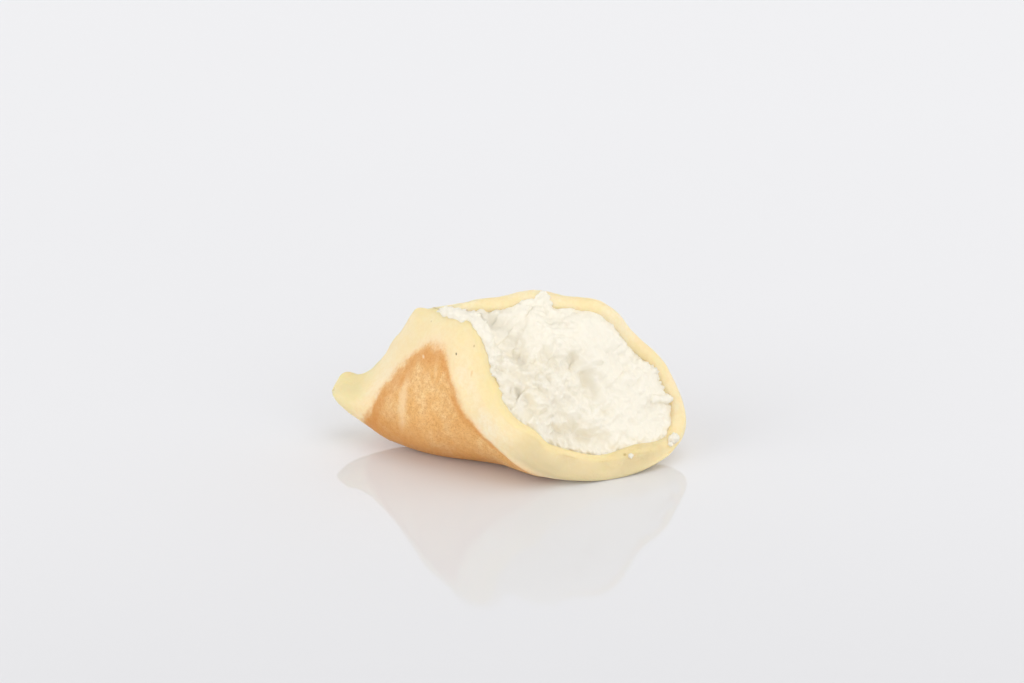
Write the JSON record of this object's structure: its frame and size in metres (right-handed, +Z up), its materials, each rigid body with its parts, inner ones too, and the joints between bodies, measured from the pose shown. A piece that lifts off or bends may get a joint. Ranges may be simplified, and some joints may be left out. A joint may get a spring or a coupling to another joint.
{
  "type": "qatayef",
  "caption": "Small pancake pinched together at its tail into an open horn and filled with lumpy white clotted cream, lying on its fold.",
  "frame": {"origin": "centre of the bottom of the bounding box, on the surface that the qatayef lies on", "axes": "+X from the pinched tail to the mouth's tip, along the length; +Z up; -Y towards the mouth's low front lip"},
  "size_m": [0.0782, 0.0342, 0.0362],
  "materials": {
    "pancake": "soft yeast pancake, finely porous and golden brown in the middle of its outer face, smooth and pale yellow near the edge",
    "cream": "moist clotted cream, off-white"
  },
  "bodies": {
    "root": {"pancake": "pancake", "cream": "cream"}
  },
  "joints": []
}
